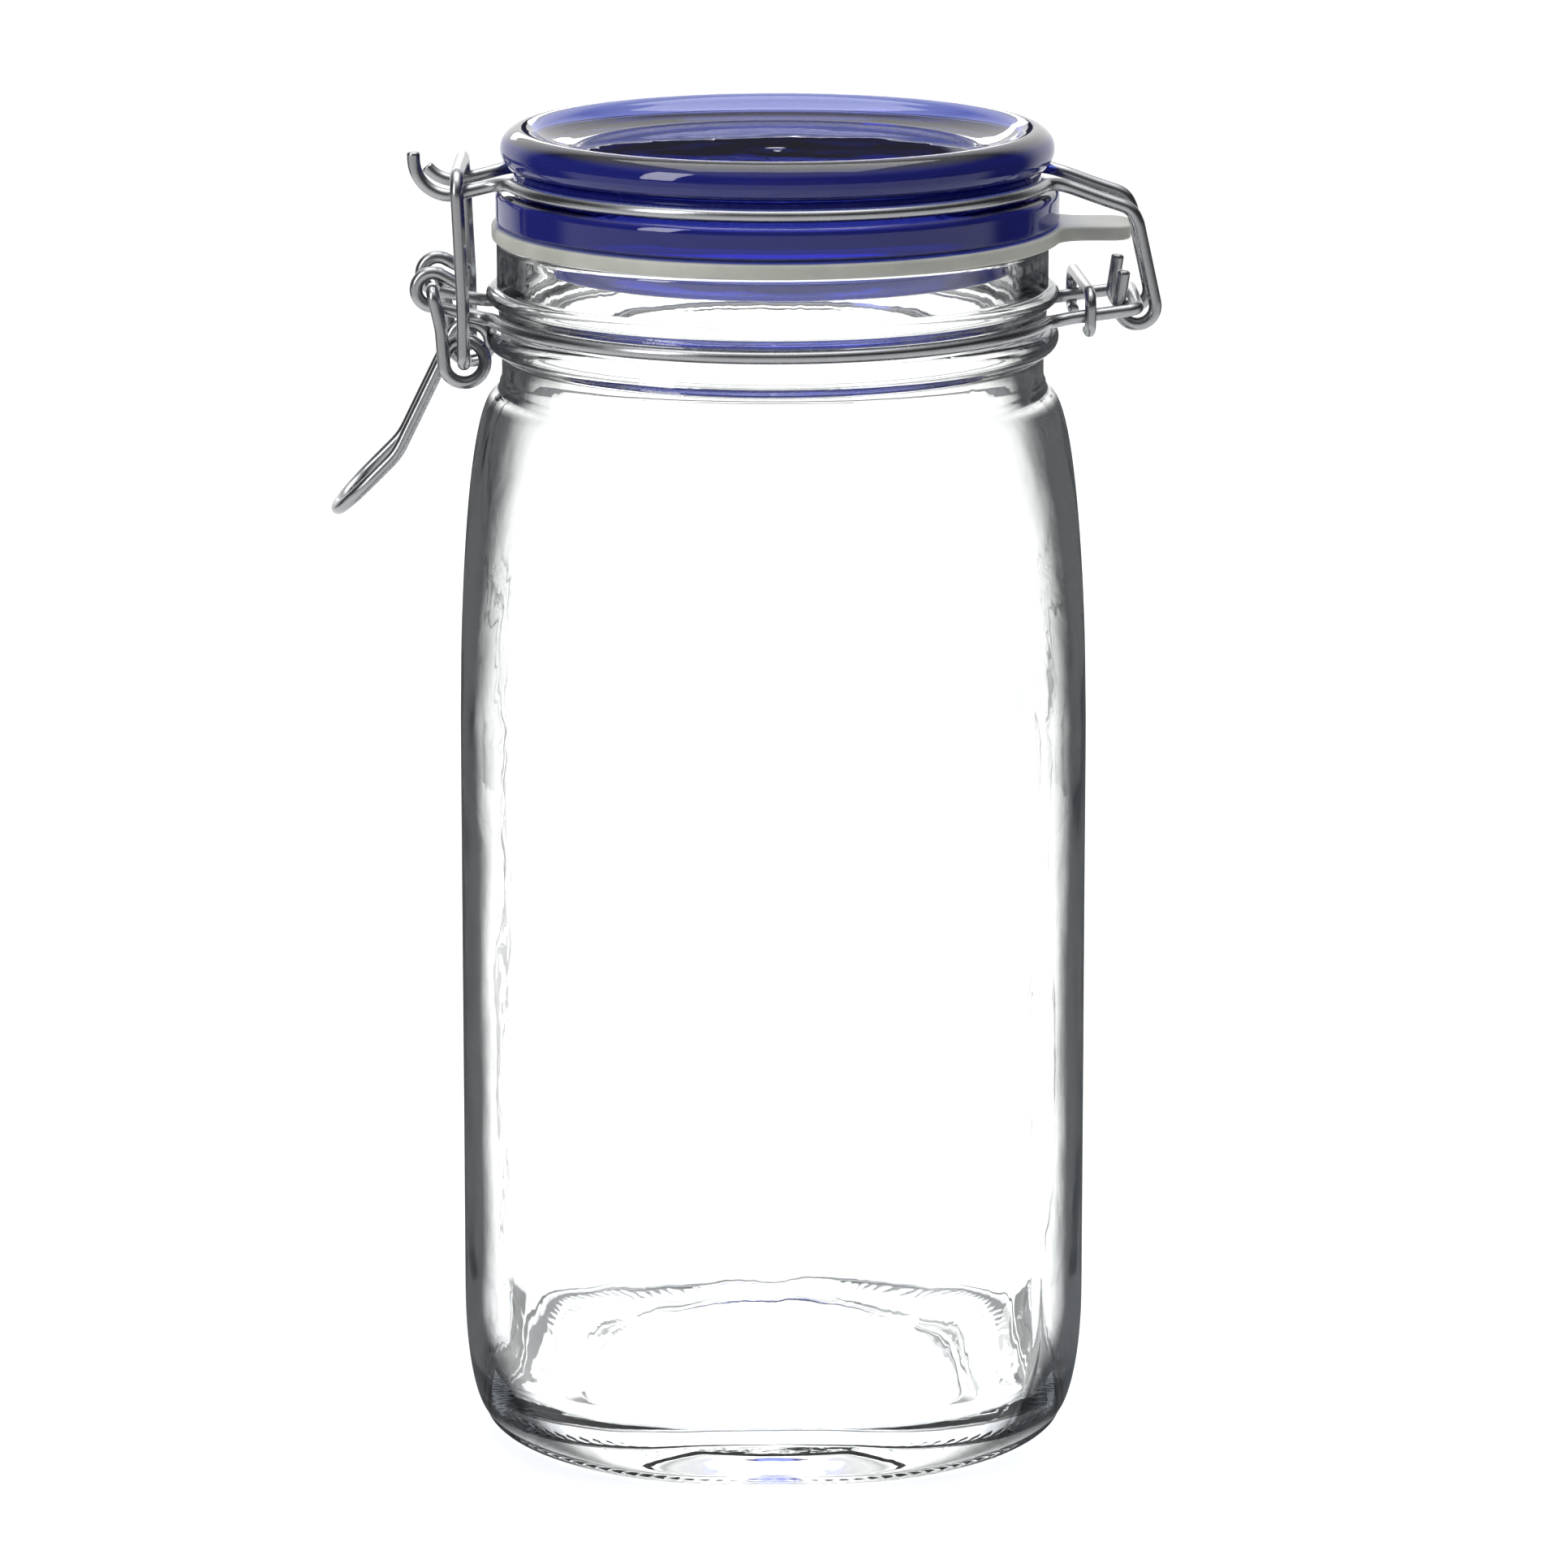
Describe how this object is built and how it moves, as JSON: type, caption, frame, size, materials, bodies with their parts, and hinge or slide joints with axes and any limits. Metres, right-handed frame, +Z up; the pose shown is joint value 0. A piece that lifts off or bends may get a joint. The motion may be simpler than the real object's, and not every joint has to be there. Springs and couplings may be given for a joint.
{
  "type": "bail clamp jar",
  "caption": "Rounded-square clear glass storage jar with a blue glass lid, a tabbed rubber gasket and a bent-wire hinge and over-centre latch.",
  "frame": {"origin": "on the surface that the jar stands on, below the middle of the whole object's length and width; the glass jar's own axis is 5 mm from it towards +X, because the handle reaches further out than the hinge", "axes": "+Z up, along the jar's axis, +X towards the wire hinge and the gasket's pull tab, -X towards the over-centre latch, -Y the front"},
  "size_m": [0.1395, 0.1052, 0.222],
  "materials": {
    "clear_glass": "clear, moulded, smooth",
    "cobalt_glass": "transparent cobalt blue, glossy",
    "gasket_rubber": "satin off-white",
    "plated_steel": "zinc-plated drawn wire, satin"
  },
  "bodies": {
    "jar": {"glass_jar": "clear_glass", "neck_wire": "plated_steel", "tension_clip": "plated_steel"},
    "lid": {"glass_lid": "cobalt_glass", "gasket": "gasket_rubber", "lid_wire_front": "plated_steel", "lid_wire_rear": "plated_steel"},
    "lever": {"lever": "plated_steel"},
    "latch": {"latch_loop": "plated_steel"}
  },
  "joints": [
    {"name": "lid_hinge", "type": "hinge", "parent": "jar", "child": "lid", "pos_m": [0.0657, 0, 0.193], "axis": [0, 1, 0], "range_deg": [0, 180]},
    {"name": "lever_pivot", "type": "hinge", "parent": "jar", "child": "lever", "pos_m": [-0.0516, 0, 0.1958], "axis": [0, 1, 0], "range_deg": [0, 110]},
    {"name": "latch_pivot", "type": "hinge", "parent": "lever", "child": "latch", "pos_m": [-0.0464, 0, 0.1839], "axis": [0, 1, 0], "range_deg": [-80, 0]}
  ],
  "couplings": [
    {"joint": "latch_pivot", "follows": "lever_pivot", "ratio": -0.7}
  ]
}
